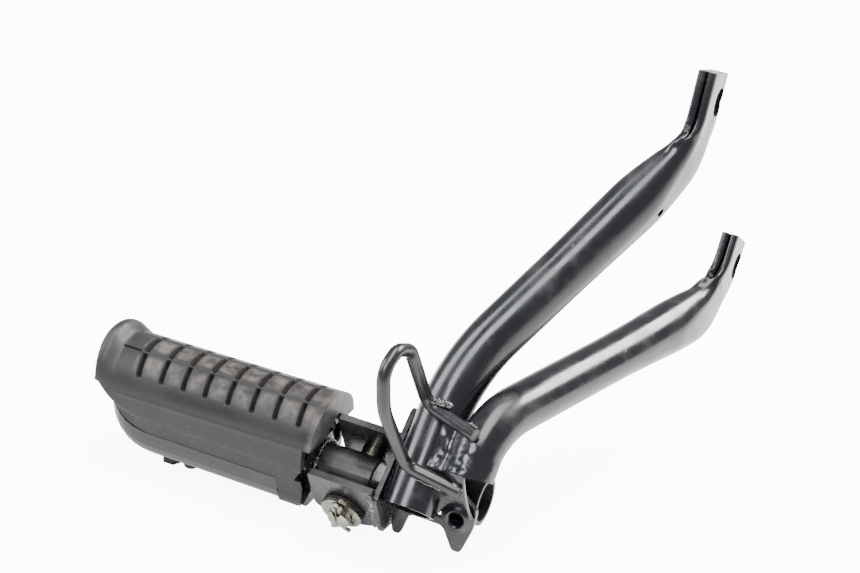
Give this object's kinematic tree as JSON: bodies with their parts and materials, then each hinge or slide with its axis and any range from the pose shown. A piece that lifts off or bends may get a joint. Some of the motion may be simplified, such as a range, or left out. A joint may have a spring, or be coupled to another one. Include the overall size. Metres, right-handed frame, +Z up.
{
  "type": "foot peg",
  "caption": "Folding passenger foot peg: a ribbed rubber pad in a steel tray, hinged on a cross pin to a bracket of bent tubes with flattened bolt lugs and a wire hook.",
  "frame": {"origin": "on the outer face of the upper bolt lug, between its bolt hole and its end", "axes": "+X outward along the peg, away from the motorcycle; +Z up from the tread; +Y to the rear, so the tubes run forward along -Y"},
  "size_m": [0.2238, 0.225, 0.1932],
  "materials": {
    "paint": "gloss black, chipped",
    "rubber": "worn, satin",
    "zinc": "yellowish zinc plating",
    "spring_steel": "dark, rusty",
    "rusty_steel": "dull, rusty"
  },
  "bodies": {
    "bracket": {"upper_tube": "paint", "lower_tube": "paint", "saddle_plate": "paint", "wire_hook": "paint", "hanger_plate": "paint", "damper_ring": "paint", "clevis_base": "paint", "rear_ear": "paint", "front_ear": "paint"},
    "peg": {"pivot_sleeve": "paint", "stop_heel": "paint", "root_plate": "paint", "core_bar": "paint", "peg_tray": "paint", "rubber_cover": "rubber", "cover_stud": "rusty_steel", "stud_washer": "rusty_steel", "stud_nut": "rusty_steel", "cover_rivet": "rusty_steel"},
    "pin": {"hinge_pin": "zinc", "wave_washer": "spring_steel", "pin_washer": "zinc", "cotter_pin": "zinc"}
  },
  "joints": [
    {"name": "peg_fold", "type": "hinge", "parent": "bracket", "child": "peg", "pos_m": [0.09448, 0.11739, -0.16514], "axis": [0, -0.891, 0.454], "range_deg": [0, 45]},
    {"name": "pin_spin", "type": "hinge", "parent": "bracket", "child": "pin", "pos_m": [0.09448, 0.11739, -0.16514], "axis": [0, 0.891, -0.454], "continuous": true}
  ]
}
